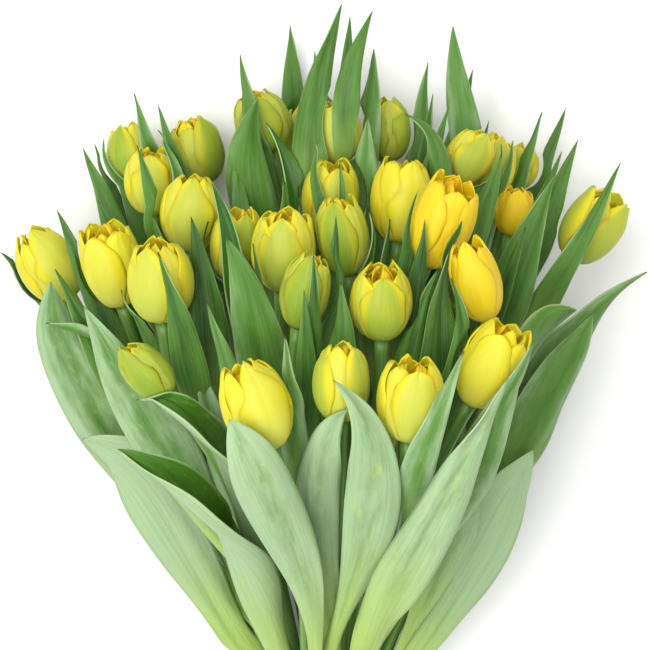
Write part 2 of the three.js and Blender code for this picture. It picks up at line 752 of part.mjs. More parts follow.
const bunch = new THREE.Group();
const tulips = prepare(TULIPS);
const rooms = tulips.map((tulip) => bloomRoom(tulip, CLEAR));
tulips.forEach((tulip, k) => {
  const color = new THREE.Color(COLOURS.yellow).lerp(new THREE.Color(COLOURS.flushed), tulip.flush);
  bunch.add(finish(numbered('bloom', k), toGeometry(bloomSolid(tulip)), color, 0.5));
});
const greens = tulips.map((tulip) => {
  const whole = fuse(leafyStem(tulip, tulips));
  const met = rooms.filter((room) => whole.intersect(room).volume() > TOUCH);
  return wholeBody(met.reduce((left, room) => left.subtract(room), whole));
});
for (const members of crossingGroups(greens)) {
  const solid = members.length > 1 ? fuse(members.map((k) => greens[k])) : greens[members[0]];
  bunch.add(finish(numbered('leafy_stem', members[0]), toGeometry(solid), COLOURS.leaf, 0.55));
}

bunch.add(finish('tie', tieGeometry(tulips), COLOURS.tie, 0.6));

export default bunch;
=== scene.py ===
# A bunch of thirty yellow tulips, tied round its stems and laid down with the heads towards +Y.
# Places are worked out in mm, +Z up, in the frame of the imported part, and turned to metres at the end.
import math
import random

import bmesh
import bpy
from mathutils import Matrix, Vector


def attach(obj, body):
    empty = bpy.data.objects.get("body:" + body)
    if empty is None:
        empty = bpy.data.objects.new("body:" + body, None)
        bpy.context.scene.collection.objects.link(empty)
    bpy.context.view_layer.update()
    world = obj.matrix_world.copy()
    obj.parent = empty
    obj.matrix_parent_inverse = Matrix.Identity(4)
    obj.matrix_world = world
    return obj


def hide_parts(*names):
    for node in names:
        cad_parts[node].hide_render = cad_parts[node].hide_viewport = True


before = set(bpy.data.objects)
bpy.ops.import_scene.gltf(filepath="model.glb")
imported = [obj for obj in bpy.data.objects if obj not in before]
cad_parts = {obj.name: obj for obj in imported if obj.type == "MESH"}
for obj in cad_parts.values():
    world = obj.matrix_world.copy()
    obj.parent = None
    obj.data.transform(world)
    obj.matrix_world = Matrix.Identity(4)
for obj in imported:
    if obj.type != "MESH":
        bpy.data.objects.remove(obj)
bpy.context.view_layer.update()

bl_info = {
    "name": "Bunch of tulips",
    "version": (1, 0, 0),
    "blender": (4, 5, 0),
    "location": "3D View > Sidebar > Tulips",
    "description": "Models a bunch of cut yellow tulips on leafy stems, with its tie",
    "category": "Add Mesh",
}

MM = 0.001
UP = Vector((0, 0, 1))
ALONG = Vector((0, 1, 0))

# Sizes in mm that the solids have too
CUT_END_Y = -75
STEM_WIDTH = 6.4
STEM_PITCH = 7.05
FAN_HEIGHT = 25
TIE_WIDE = 6
TIE_THICK = 1.4
TIE_SLACK = 0.9
LEAF_ROOT_Y = 14
LEAF_SHORTEST = 90
LEAF_CLEARANCE = 1.8
LEAF_LOWEST = 1

# How many stems each row in the tie has, and by what share of their pitch the next row is higher. Below the
# tie the stems spread a little, and above it each bends towards its bloom.
NECK_ROWS = (4, 5, 6, 6, 5, 4)
ROW_RISE = math.sqrt(0.75)
STEM_SPREAD = 1.12
STEM_STEPS = 6
STEM_BEND = dict(straight=0.42, start=0.35, end=0.3)

# How a bloom bulges from foot to crown, and the room round it that leaves keep out of, in shares of its size
BLOOM_SHAPE = dict(foot=0.03, crown=0.91, opening=0.3, low=0.8, full=0.55, thinnest=0.01)
BLOOM_ROOM = dict(wide=1.12, tall=1.04, below=-0.1, above=1.12)

# A leaf's sheath ends at this share of its length. A leaf is longer than the shortest by so many of its
# widths. It curls round its middle by so many radians to each side, and the leaves low behind the others by
# a share of that.
LEAF_SHEATH_END = 0.22
LEAF_PER_WIDTH = 2.5
LEAF_CUP = dict(foot=1.3, middle=0.7, tip=0.45, middle_at=0.4)
LOW_CUP = 0.2

# How a leaf's middle bends: how far its outer face looks up, how deep its foot is in the stem, how far it
# starts along the stem and away from it, how far it ends straight, and what moves its middle by 1
LEAF_BEND = dict(up=0.4, foot=0.2, start=0.3, away=0.08, end=0.33, middle=4 / 3)

# A leaf narrower than this, in mm, passes a bloom in one piece, and a broader one is dented by it
NARROW_LEAF = 15

# What a bloom and a leaf have that isn't given. A bloom that is given no roll gets one of a few steps in
# degrees, and every fourth is turned to show a gap of its outer ring.
USUAL_BLOOM = dict(open=0.1, warm=0, flush=0.32)
USUAL_LEAF = dict(lean=0, side=0, bow=0, turn=0, cup=1, broadest=0.6, blunt=1.35, sheath=0.3)
ROLL_STEP = 9
ROLL_TO_GAP = 60

# The bunch is seen from straight above. A place is given by its pixels right and down in the square picture
# and by its height in mm. The eye is this high, and this many pixels from the picture.
PICTURE_SIDE = 650
VIEW_PIXELS = 2420
VIEW_EYE = 1300
VIEW_ACROSS = -2.5
VIEW_ALONG = 222


def blade(*tip, **given):
    """A leaf with the place of its tip and what else is given."""
    return {**USUAL_LEAF, "tip": tip, **given}


# Each tulip: the foot and top of its bloom (right, down, height), the bloom's girth in mm, how far its petals
# open, how gold (warm) and green (flush) they are, its roll round its own axis in degrees, and its leaves.
# A leaf has its tip and its width in mm. It can have its tip leant to the right in degrees and its middle
# moved to the right (side) and up (bow) in mm, or two places that its middle passes at a third and two thirds
# of its way (via). It can have a turn round its middle in degrees, a share of its cup (less than nothing cups
# it the other way), the share of its length at which it is broadest, how blunt its tip is, its sheath's share
# of its width, where along the bunch it leaves its stem (root), and how pale it is (waxy), from its waxy film
# and from painted shade.
TULIPS = (
    dict(foot=(70, 297, 48), top=(25, 230, 62), girth=31, roll=60, leaves=(
        blade(0, 252, 50, wide=24, lean=-20),
        blade(82, 439, 84, wide=34, via=((218, 612, 47), (163, 511, 72)),
              broadest=0.7, blunt=2.5, root=45, sheath=0.55),
        blade(58, 345, 4, wide=28, cup=LOW_CUP, root=60),
    )),
    dict(foot=(122, 304, 70), top=(100, 222, 88), girth=31, open=0.3, warm=0.2, roll=-15, leaves=(
        blade(57, 210, 75, wide=16),
        blade(55, 269, 95, wide=22),
        blade(51, 281, 92, wide=36, via=((170, 515, 48), (87, 393, 70)), blunt=2, waxy=0.72),
        blade(46, 323, 98, wide=15, via=((168, 415, 70), (108, 347, 94)), turn=-80, cup=1.6),
    )),
    dict(foot=(162, 320, 104), top=(157, 238, 118), girth=34, open=0.05, flush=0.35, roll=-25, leaves=(
        blade(158, 252, 135, wide=18),
        blade(124, 290, 104, wide=12),
        blade(191, 216, 105, wide=20),
        blade(191, 352, 112, wide=18),
    )),
    dict(foot=(189, 249, 66), top=(194, 172, 80), girth=31.5, flush=0.4, leaves=(
        blade(158, 130, 60, wide=13, side=2),
        blade(152, 214, 80, wide=12),
    )),
    dict(foot=(153, 213, 44), top=(150, 146, 54), girth=28, leaves=(
        blade(137, 145, 80, wide=13),
        blade(83, 148, 45, wide=16),
    )),
    dict(foot=(136, 184, 24), top=(126, 122, 30), girth=27, flush=0.7, leaves=(
        blade(134, 93, 44, wide=14),
        blade(107, 136, 35, wide=11),
        blade(94, 143, 30, wide=10),
        blade(98, 250, 3, wide=30, cup=LOW_CUP, root=70),
    )),
    dict(foot=(203, 184, 22), top=(188, 116, 30), girth=30, flush=0.75, leaves=(
        blade(158, 104, 46, wide=10),
        blade(231, 156, 45, wide=9),
        blade(98, 200, 60, wide=9),
        blade(178, 200, 3, wide=28, cup=LOW_CUP, root=80),
        blade(226, 205, 3, wide=28, cup=LOW_CUP, root=100),
    )),
    dict(foot=(234, 279, 80), top=(241, 204, 93), girth=27, flush=0.6, leaves=(
        blade(211, 220, 85, wide=10),
        blade(234, 145, 60, wide=12),
        blade(285, 181, 90, wide=14),
        blade(211, 182, 104, wide=13, via=((243, 352, 80), (233, 262, 104)), cup=-1.3),
    )),
    dict(foot=(281, 289, 96), top=(286, 206, 112), girth=32, open=0.15, flush=0.5, leaves=(
        blade(283, 179, 95, wide=12),
        blade(253, 243, 118, wide=7),
    )),
    dict(foot=(272, 150, 34), top=(252, 90, 42), girth=29, flush=0.9, leaves=(
        blade(240, 54, 55, wide=12),
        blade(258, 98, 66, wide=26, lean=20, side=-3, blunt=2.4),
        blade(290, 25, 10, wide=15),
        blade(266, 123, 60, wide=14, via=((310, 290, 54), (298, 198, 60)), cup=-1.3),
    )),
    dict(foot=(312, 165, 17), top=(305, 100, 20), girth=27, open=0.05, flush=0.9, leaves=(
        blade(350, 15, 20, wide=10),
        blade(315, 50, 22, wide=10),
        blade(275, 195, 3, wide=28, cup=LOW_CUP, root=80),
        blade(325, 190, 3, wide=26, cup=LOW_CUP, root=100),
    )),
    dict(foot=(338, 165, 44), top=(335, 97, 50), girth=26, leaves=(
        blade(342, 4, 62, wide=20, via=((311, 208, 56), (316, 102, 60)), broadest=0.5),
        blade(373, 10, 60, wide=15, via=((342, 168, 55), (348, 90, 67))),
    )),
    dict(foot=(330, 235, 62), top=(333, 156, 74), girth=30, flush=0.4, leaves=(
        blade(374, 49, 50, wide=20),
    )),
    dict(foot=(348, 274, 94), top=(336, 193, 106), girth=26, flush=0.8, leaves=(
        blade(340, 159, 85, wide=8),
        blade(319, 139, 80, wide=10),
        blade(366, 213, 105, wide=9),
    )),
    dict(foot=(388, 161, 26), top=(385, 95, 32), girth=25, open=0.05, flush=0.9, leaves=(
        blade(428, 62, 25, wide=12),
        blade(433, 94, 28, wide=9),
        blade(392, 190, 3, wide=26, cup=LOW_CUP, root=110),
    )),
    dict(foot=(298, 327, 124), top=(313, 251, 136), girth=24, flush=0.9, leaves=(
        blade(313, 250, 152, wide=10),
        blade(336, 216, 135, wide=11),
        blade(225, 237, 140, wide=28, via=((276, 472, 95), (262, 356, 126)), blunt=1.8),
        blade(304, 289, 150, wide=13),
    )),
    dict(foot=(381, 338, 132), top=(382, 262, 146), girth=30, flush=0.6, roll=3, leaves=(
        blade(341, 281, 150, wide=24, side=1.5),
        blade(427, 219, 130, wide=12),
        blade(438, 269, 140, wide=14, lean=15),
    )),
    dict(foot=(398, 240, 72), top=(405, 155, 84), girth=31, open=0.25, warm=0.3, leaves=(
        blade(368, 117, 70, wide=26),
        blade(405, 114, 68, wide=18, via=((404, 275, 64), (438, 180, 76))),
        blade(390, 219, 105, wide=11),
    )),
    dict(foot=(425, 265, 108), top=(460, 175, 122), girth=31, open=0.3, warm=0.7, leaves=(
        blade(502, 153, 90, wide=18),
        blade(479, 208, 105, wide=9),
        blade(420, 190, 125, wide=10),
    )),
    dict(foot=(487, 319, 130), top=(464, 238, 144), girth=24, warm=0.7, leaves=(
        blade(450, 249, 150, wide=22),
        blade(533, 450, 96, wide=30, via=((427, 640, 54), (480, 553, 80)),
              broadest=0.76, blunt=3, sheath=0.6),
        blade(499, 389, 104, wide=28, side=5, bow=-3),
        blade(462, 222, 140, wide=16),
    )),
    dict(foot=(455, 180, 58), top=(485, 132, 64), girth=24, open=0.2, flush=0.5, leaves=(
        blade(453, 25, 44, wide=18, via=((462, 205, 44), (463, 112, 46))),
        blade(448, 107, 56, wide=11, side=-2, bow=1),
        blade(473, 69, 20, wide=10),
    )),
    dict(foot=(484, 198, 34), top=(500, 134, 41), girth=26, flush=0.4, leaves=(
        blade(490, 138, 62, wide=11),
        blade(513, 140, 50, wide=11),
        blade(489, 120, 25, wide=7),
    )),
    dict(foot=(514, 188, 16), top=(526, 143, 20), girth=20, open=0.05, leaves=(
        blade(542, 112, 35, wide=11),
        blade(566, 108, 22, wide=11),
        blade(562, 151, 30, wide=9),
        blade(458, 205, 3, wide=28, cup=LOW_CUP, root=100),
        blade(532, 240, 3, wide=28, cup=LOW_CUP, root=75),
    )),
    dict(foot=(510, 234, 60), top=(519, 186, 68), girth=20, open=0.05, warm=0.8, leaves=(
        blade(554, 176, 95, wide=26, waxy=0.45),
        blade(526, 226, 110, wide=12),
        blade(578, 140, 60, wide=15),
    )),
    dict(foot=(570, 258, 60), top=(616, 193, 70), girth=30, open=0.3, flush=0.5, leaves=(
        blade(621, 162, 94, wide=17, broadest=0.4),
        blade(647, 272, 70, wide=32, via=((500, 466, 52), (568, 352, 66)),
              turn=35, cup=1.3, blunt=1.6, waxy=0.5),
        blade(594, 313, 90, wide=32, via=((488, 502, 68), (546, 404, 86)), turn=35, blunt=1.7, waxy=0.4),
        blade(590, 330, 4, wide=28, cup=LOW_CUP, root=60),
    )),
    dict(foot=(272, 447, 165), top=(240, 360, 178), girth=33, warm=0.15, flush=0.3, roll=30,
         leaves=(
        blade(229, 419, 194, wide=28, via=((313, 624, 112), (281, 521, 172)), broadest=0.7, blunt=3),
        blade(285, 335, 165, wide=14),
        blade(207, 302, 150, wide=12),
    )),
    dict(foot=(341, 420, 158), top=(341, 343, 168), girth=27, open=0.15, flush=0.5, roll=50, leaves=(
        blade(333, 380, 194, wide=28, via=((347, 600, 118), (375, 486, 172)), blunt=1.6, root=40),
        blade(347, 408, 174, wide=22, via=((328, 600, 104), (317, 494, 150)),
              blunt=2.6, root=30, sheath=0.5),
    )),
    dict(foot=(408, 440, 168), top=(415, 353, 180), girth=32, open=0.15, flush=0.35, roll=8, leaves=(
        blade(464, 351, 190, wide=17, via=((392, 552, 126), (423, 456, 180))),
    )),
    dict(foot=(470, 403, 150), top=(515, 322, 164), girth=30, open=0.3, warm=0.3, roll=-40, leaves=(
        blade(508, 378, 188, wide=27, via=((386, 608, 130), (448, 495, 177)),
              broadest=0.42, blunt=1.7, sheath=0.7),
        blade(532, 340, 172, wide=24),
        blade(451, 278, 160, wide=15, via=((424, 474, 123), (456, 378, 148))),
        blade(576, 309, 128, wide=34, via=((460, 508, 122), (522, 374, 122)),
              turn=80, cup=1.7, broadest=0.8, blunt=2, waxy=0.45),
    )),
    dict(foot=(168, 395, 130), top=(122, 345, 138), girth=22, open=0, flush=1.0, leaves=(
        blade(117, 449, 134, wide=46, via=((266, 632, 80), (208, 524, 120)),
              turn=-102, cup=2.1, sheath=0.5),
        blade(142, 394, 136, wide=40, via=((262, 577, 84), (212, 454, 128)), turn=-102, cup=2.1),
        blade(84, 306, 116, wide=30, blunt=1.8, waxy=0.8),
    )),
)


# Where everything lies, in mm

def seen(place):
    """A place in mm from a picture position and a height."""
    right, down, height = place
    per_pixel = (VIEW_EYE - height) / VIEW_PIXELS
    across = VIEW_ACROSS + (right - PICTURE_SIDE / 2) * per_pixel
    along = VIEW_ALONG + (PICTURE_SIDE / 2 - down) * per_pixel
    return Vector((across, along, height))


def ramp(value, start, end):
    """How far a value has come from start to end: from 0 to 1, and eased at both."""
    s = min(max((value - start) / (end - start), 0), 1)
    return s * s * (3 - 2 * s)


def blend(low, high, share):
    """The value a share of the way from low to high."""
    return low + (high - low) * share


def bezier(ends, t):
    """The point of a cubic curve at t from 0 to 1."""
    a, b, c, d = ends
    s = 1 - t
    return a * s ** 3 + b * (3 * s * s * t) + c * (3 * s * t * t) + d * t ** 3


def bezier_ahead(ends, t):
    """The direction of a cubic curve at t from 0 to 1."""
    a, b, c, d = ends
    s = 1 - t
    return ((b - a) * s * s + (c - b) * (2 * s * t) + (d - c) * t * t).normalized()


def curve_through(start, third, two_thirds, end):
    """The cubic curve that passes two places at a third and two thirds of its way."""
    first = (start * -5 + third * 18 - two_thirds * 9 + end * 2) / 6
    second = (start * 2 - third * 9 + two_thirds * 18 - end * 5) / 6
    return start, first, second, end


def evenly(ends, count, fine_steps=200):
    """Points along a cubic curve that are equally far apart."""
    fine = [bezier(ends, k / fine_steps) for k in range(fine_steps + 1)]
    lengths = [0]
    for one, two in zip(fine, fine[1:]):
        lengths.append(lengths[-1] + (two - one).length)
    points = []
    k = 0
    for step in range(count):
        wanted = lengths[-1] * step / count
        while lengths[k + 1] < wanted:
            k += 1
        share = (wanted - lengths[k]) / (lengths[k + 1] - lengths[k])
        points.append(fine[k].lerp(fine[k + 1], share))
    return points + [fine[-1]]


def eased(points, rounds):
    """The points with their bends eased, the two ends kept."""
    for _ in range(rounds):
        middle = [(a + b * 2 + c) / 4 for a, b, c in zip(points, points[1:], points[2:])]
        points = [points[0], *middle, points[-1]]
    return points


def square_to(tangent, direction):
    """The unit part of a direction that is square to a tangent."""
    return (direction - tangent * direction.dot(tangent)).normalized()


def neck_sites():
    """Where each stem passes the tie: rows of stems packed close, the lowest row first."""
    lowest = STEM_WIDTH / 2 + TIE_SLACK + TIE_THICK
    rise = STEM_PITCH * ROW_RISE
    return [
        [((k - (count - 1) / 2) * STEM_PITCH, lowest + row * rise) for k in range(count)]
        for row, count in enumerate(NECK_ROWS)
    ]


def place_in_neck(tulips):
    """Gives each tulip its place in the neck, so that the stems fan out without crossing."""
    left = sorted(tulips, key=lambda tulip: (tulip["base"].z - FAN_HEIGHT) / tulip["base"].y)
    for row in neck_sites():
        members = sorted(left[:len(row)], key=lambda tulip: tulip["base"].x / tulip["base"].y)
        left = left[len(row):]
        for tulip, site in zip(members, row):
            tulip["neck"] = site


def rise_of(tulip):
    """The curve of a stem from the tie to its bloom."""
    x, z = tulip["neck"]
    tied = Vector((x, 0, z))
    end = tulip["base"]
    span = (end - tied).length
    away = (end - tied).normalized().lerp(ALONG, STEM_BEND["straight"]).normalized()
    return (
        tied,
        tied + away * (span * STEM_BEND["start"]),
        end - tulip["axis"] * (span * STEM_BEND["end"]),
        end,
    )


def prepare():
    """The tulips with their bloom's place, size and turn and their stem's line."""
    tulips = []
    for k, given in enumerate(TULIPS):
        base = seen(given["foot"])
        reach = seen(given["top"]) - base
        usual_roll = ((k * 7) % 5 - 2) * ROLL_STEP + (ROLL_TO_GAP if k % 4 == 2 else 0)
        tulip = {**USUAL_BLOOM, **given, "number": k + 1, "base": base, "radius": given["girth"] / 2}
        tulip.update(height=reach.length, axis=reach.normalized())
        tulip["roll"] = math.radians(given.get("roll", usual_roll))
        tulips.append(tulip)
    place_in_neck(tulips)
    for tulip in tulips:
        x, z = tulip["neck"]
        tulip["rise"] = rise_of(tulip)
        cut = Vector((x * STEM_SPREAD, CUT_END_Y, z))
        tulip["line"] = [cut, *evenly(tulip["rise"], STEM_STEPS - 1)]
    return tulips


def on_line(points, y):
    """The place and direction on a stem's line at a distance along the bunch."""
    last = next(k for k in range(1, len(points)) if points[k].y >= y or k == len(points) - 1)
    one, two = points[last - 1], points[last]
    return one.lerp(two, (y - one.y) / (two.y - one.y)), (two - one).normalized()


def bulge(t, opened):
    """How far a petal stands from the bloom's axis, in shares of its radius, at a share of its height."""
    crown = BLOOM_SHAPE["crown"] - BLOOM_SHAPE["opening"] * opened
    turn = math.pi * (BLOOM_SHAPE["foot"] + crown * t ** BLOOM_SHAPE["low"])
    return max(math.sin(turn), BLOOM_SHAPE["thinnest"]) ** BLOOM_SHAPE["full"]


def clear_of_blooms(point, blooms):
    """Moves a point of a leaf out of the room of the blooms, straight away from their axes."""
    for bloom in blooms:
        offset = point - bloom["base"]
        along = offset.dot(bloom["axis"])
        t = along / (bloom["height"] * BLOOM_ROOM["tall"])
        if BLOOM_ROOM["below"] < t < BLOOM_ROOM["above"]:
            out = offset - bloom["axis"] * along
            room = bloom["radius"] * BLOOM_ROOM["wide"] * bulge(min(max(t, 0), 1), bloom["open"])
            needed = room + LEAF_CLEARANCE
            if out.length < needed:
                point += out.normalized() * (needed - out.length)
    return point


def waves(kinds, starts, u, t):
    """A sum of waves along a petal or leaf. Each kind has its height and its turns along and across."""
    return sum(
        high * math.sin(along * t + start + across * u)
        for (high, along, across), start in zip(kinds, starts)
    )


# Making meshes

def new_piece(name, bm, materials):
    """A new object from a bmesh in mm, with its place in its mesh."""
    bmesh.ops.scale(bm, vec=(MM, MM, MM), verts=bm.verts)
    mesh = bpy.data.meshes.new(name)
    bm.to_mesh(mesh)
    bm.free()
    for material in materials:
        mesh.materials.append(material)
    mesh.shade_smooth()
    piece = bpy.data.objects.new(name, mesh)
    bpy.context.collection.objects.link(piece)
    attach(piece, "root")
    return piece


def layers_of(bm):
    """The attributes that materials read: the place along the fibres in mm, and edge, share and tint."""
    attributes = bm.verts.layers.float_vector
    return attributes.new("grain"), attributes.new("form")


# Points nearer than this, in mm, are one
CLOSE = 0.002


def bent_sheet(bm, layers, columns, rows, place, marks):
    """Adds a grid bent by place(u, t), u from -1 to 1 and t from 0 to 1. marks(u, t) gives its attributes."""
    made = bmesh.ops.create_grid(bm, x_segments=columns, y_segments=rows, size=1)["verts"]
    for vert in made:
        u, t = round(vert.co.x, 5), round((vert.co.y + 1) / 2, 5)
        vert[layers[0]], vert[layers[1]] = marks(u, t)
        vert.co = place(u, t)
    faces = list({face for vert in made for face in vert.link_faces})
    bmesh.ops.remove_doubles(bm, verts=made, dist=CLOSE)
    return [face for face in faces if face.is_valid]


def give_thickness(piece, thick, inner=0):
    """A live wall of one thickness. inner is how many slots on the material of its inner face is."""
    wall = piece.modifiers.new("thickness", "SOLIDIFY")
    wall.thickness = thick * MM
    wall.offset = 0
    wall.material_offset = inner


# Blooms

# Each ring of petals, the outermost first: how many, how wide and tall against the bloom, where its first
# petal is and half of what a petal spans in degrees, how it ruffles in mm, how much of the bloom's green it
# takes, how gold it is, how much its petals differ in opening, and its grid across and along.
RINGS = (
    dict(count=3, size=1.0, tall=1.0, turn=30, span=56, ruffle=0.8,
         green=1.0, warm=0.0, flare=0.08, grid=(16, 24)),
    dict(count=3, size=0.93, tall=1.0, turn=90, span=56, ruffle=1.0,
         green=0.6, warm=0.1, flare=0.1, grid=(16, 22)),
    dict(count=4, size=0.72, tall=0.97, turn=20, span=50, ruffle=1.1,
         green=0.1, warm=0.3, flare=0.1, grid=(12, 18)),
    dict(count=3, size=0.42, tall=0.95, turn=55, span=62, ruffle=1.1,
         green=0.0, warm=0.6, flare=0.1, grid=(12, 16)),
)

# A petal is a share of its full span at its foot, full below the middle, and round at its tip
PETAL_SPAN = dict(foot=0.62, full_at=0.45, point=2.6, round=0.62)

# By chance: a petal's turn and lean in radians, its height, and how far its tip flicks in or out
PETAL_CHANCE = dict(turn=0.06, lean=0.06, opening=(-0.5, 1), tall=(0.86, 1.0), flick=(-0.3, 1), flicked=0.12)

# Shares of the radius by which tips close, more in the inner rings and less in an open bloom
PETAL_CLOSING = dict(usual=0.26, inside=0.3, opened=0.7, start=0.7)

# Shares by which one edge laps over its neighbour and both tuck in, and the groove on the back in mm. Both
# start at the foot and are full at a share of the height. The tip flicks from a share of the height on.
PETAL_BACK = dict(lap=0.02, tuck=0.09, tuck_full=0.3, groove=0.35, groove_wide=0.09, groove_full=0.2)
PETAL_FLICK_FROM = 0.8

# Waves at a petal's edge and up its tip: height, and turns along and across in radians. A ring's ruffle is
# that of a bloom of this radius in mm.
PETAL_WAVES = ((1, 8, 2), (0.6, 13, 3))
PETAL_LIFTS = ((0.7, 9, 0),)
RUFFLED_RADIUS = 16

# Where a petal ruffles: narrowly along its sides between two shares of its height, and less across its tip
PETAL_SIDES = dict(narrow=2.5, between=(0.25, 0.75))
PETAL_TIP = dict(share=0.6, between=(0.85, 1))

# The dome that the petals grow from, as the places on its outline in mm
SEAT_OUTLINE = ((0, 0, 0), (3.3, 0, 0), (4.4, 0, 1.2), (3.2, 0, 4), (0, 0, 6))
SEAT_STEPS = 20
SEAT_MARKS = Vector((0.3, 0, 0.9))


def petal_width(t):
    """The share of a petal's full span at a share of its height."""
    full_at = PETAL_SPAN["full_at"]
    if t < full_at:
        return blend(PETAL_SPAN["foot"], 1, ramp(t, 0, full_at))
    beyond = (t - full_at) / (1 - full_at)
    return max(1 - beyond ** PETAL_SPAN["point"], 0) ** PETAL_SPAN["round"]


def add_petal(bm, layers, bloom, ring, k, chance):
    """Adds a petal in the bloom's own frame, with its foot at the origin and the axis along +Z."""
    radius = bloom["radius"]
    turned = chance.uniform(-PETAL_CHANCE["turn"], PETAL_CHANCE["turn"])
    middle = math.radians(ring["turn"] + k * 360 / ring["count"]) + turned
    half = math.radians(ring["span"])
    opened = bloom["open"] + chance.uniform(*PETAL_CHANCE["opening"]) * ring["flare"]
    tall = ring["tall"] * chance.uniform(*PETAL_CHANCE["tall"])
    flick = chance.uniform(*PETAL_CHANCE["flick"]) * PETAL_CHANCE["flicked"]
    starts = [chance.uniform(0, 2 * math.pi) for _ in range(3)]
    lean = chance.uniform(-PETAL_CHANCE["lean"], PETAL_CHANCE["lean"])
    ruffle = ring["ruffle"] * radius / RUFFLED_RADIUS
    closing = PETAL_CLOSING["usual"] + PETAL_CLOSING["inside"] * (1 - ring["size"])
    closing -= PETAL_CLOSING["opened"] * opened

    def place(u, t):
        width = petal_width(t)
        angle = middle + u * width * half + lean * t
        risen = t * tall
        out = bulge(risen, opened) - closing * ramp(risen, PETAL_CLOSING["start"], 1)
        out = radius * ring["size"] * (out + flick * ramp(t, PETAL_FLICK_FROM, 1))
        out *= 1 + PETAL_BACK["lap"] * u * width
        out *= 1 - PETAL_BACK["tuck"] * u ** 4 * ramp(t, 0, PETAL_BACK["tuck_full"])
        groove = PETAL_BACK["groove"] * math.exp(-((u / PETAL_BACK["groove_wide"]) ** 2))
        out -= groove * ramp(t, 0, PETAL_BACK["groove_full"])
        edge = abs(u) ** PETAL_SIDES["narrow"] * ramp(t, *PETAL_SIDES["between"])
        edge = max(edge, PETAL_TIP["share"] * ramp(t, *PETAL_TIP["between"]))
        out += ruffle * edge * waves(PETAL_WAVES, starts, u, t)
        up = risen * bloom["height"] + ruffle * edge * waves(PETAL_LIFTS, starts[2:], u, t)
        return Vector((out * math.cos(angle), out * math.sin(angle), up))

    def marks(u, t):
        apart = bloom["number"] * 10 + k + 4 * ring["size"]
        hue = bloom["flush"] * ring["green"] - max(bloom["warm"], ring["warm"])
        return Vector((u * radius, t * tall * bloom["height"], apart)), Vector((abs(u), t, hue))

    bent_sheet(bm, layers, *ring["grid"], place, marks)


def add_seat(bm, layers):
    """The dome at the head of the stem that the petals grow from."""
    outline = [bm.verts.new(Vector(place)) for place in SEAT_OUTLINE]
    edges = [bm.edges.new(pair) for pair in zip(outline, outline[1:])]
    bmesh.ops.spin(
        bm, geom=outline + edges, axis=UP, cent=(0, 0, 0), angle=2 * math.pi, steps=SEAT_STEPS,
        use_merge=True,
    )
    bmesh.ops.remove_doubles(bm, verts=bm.verts, dist=CLOSE)
    bmesh.ops.recalc_face_normals(bm, faces=bm.faces)
    for vert in bm.verts:
        vert[layers[0]] = vert.co
        vert[layers[1]] = SEAT_MARKS


def make_bloom(bloom, materials):
    """One bloom: its seat and its rings of petals, turned to their place."""
    bm = bmesh.new()
    layers = layers_of(bm)
    chance = random.Random(bloom["number"])
    add_seat(bm, layers)
    for ring in RINGS:
        for k in range(ring["count"]):
            add_petal(bm, layers, bloom, ring, k, chance)
    turn = UP.rotation_difference(bloom["axis"]).to_matrix().to_4x4()
    bm.transform(Matrix.Translation(bloom["base"]) @ turn @ Matrix.Rotation(bloom["roll"], 4, "Z"))
    number = f"{bloom['number']:02d}"
    piece = new_piece(f"petals_{number}", bm, materials)
    give_thickness(piece, bpy.context.scene.tulip_bunch.petal_thickness)
    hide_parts(f"bloom_{number}")


# Stems

# Rings along a stem below and above the tie and round it, and how often its bends are eased
STEM_GRID = dict(below=8, above=30, round=12, easings=4)

# A stem ends this far under its bloom, in mm, is this share of its solid's width, and swells into its bloom
STEM_GAP = 0.3
STEM_SLIM = 0.98
STEM_SWELL = dict(by=0.22, start=0.965)

# About how far a stem is round and long, in mm, for the stripes on it
STEM_SKIN = (10, 330)


def stem_path(tulip):
    """The centre line of a stem, from its cut end to the base of its bloom."""
    cut, tied = tulip["line"][0], tulip["line"][1]
    below = [cut.lerp(tied, k / STEM_GRID["below"]) for k in range(STEM_GRID["below"])]
    end = tulip["base"] - tulip["axis"] * STEM_GAP
    return eased(below + evenly(tulip["rise"], STEM_GRID["above"])[:-1] + [end], STEM_GRID["easings"])


def frames_along(path):
    """A pair of directions square to the path at each point, turned as little as possible."""
    across = square_to((path[1] - path[0]).normalized(), UP)
    frames = []
    for k in range(len(path)):
        ahead = (path[min(k + 1, len(path) - 1)] - path[max(k - 1, 0)]).normalized()
        across = square_to(ahead, across)
        frames.append((across, ahead.cross(across)))
    return frames


def add_stem(bm, layers, tulip):
    """Adds a round stem with closed ends."""
    path = stem_path(tulip)
    frames = frames_along(path)
    radius = STEM_WIDTH / 2 * STEM_SLIM

    def place(u, t):
        k = round(t * (len(path) - 1))
        one, two = frames[k]
        turn = -u * math.pi
        swell = 1 + STEM_SWELL["by"] * ramp(t, STEM_SWELL["start"], 1)
        return path[k] + (one * math.cos(turn) + two * math.sin(turn)) * radius * swell

    def marks(u, t):
        return Vector((u * STEM_SKIN[0], t * STEM_SKIN[1], tulip["number"])), Vector((0.5, t, 0))

    bent_sheet(bm, layers, STEM_GRID["round"], len(path) - 1, place, marks)
    rims = [edge for edge in bm.edges if edge.is_boundary]
    bmesh.ops.holes_fill(bm, edges=rims, sides=0)


def node_of(tulip):
    """The solid that holds a tulip's stem and leaves. Tulips 3 and 30 share one."""
    number = 3 if tulip["number"] == 30 else tulip["number"]
    return f"leafy_stem_{number:02d}"


def make_stem(tulip, materials):
    """One stem, from its cut end to its bloom."""
    bm = bmesh.new()
    add_stem(bm, layers_of(bm), tulip)
    piece = new_piece(f"stem_{tulip['number']:02d}", bm, materials)
    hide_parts(node_of(tulip))


# Leaves

# The least grid of a leaf, and for how many mm across and along it has another pair of columns or rows
LEAF_GRID = dict(columns=6, rows=16, pair_wide=8, pair_long=12)
LEAF_SEED = 100

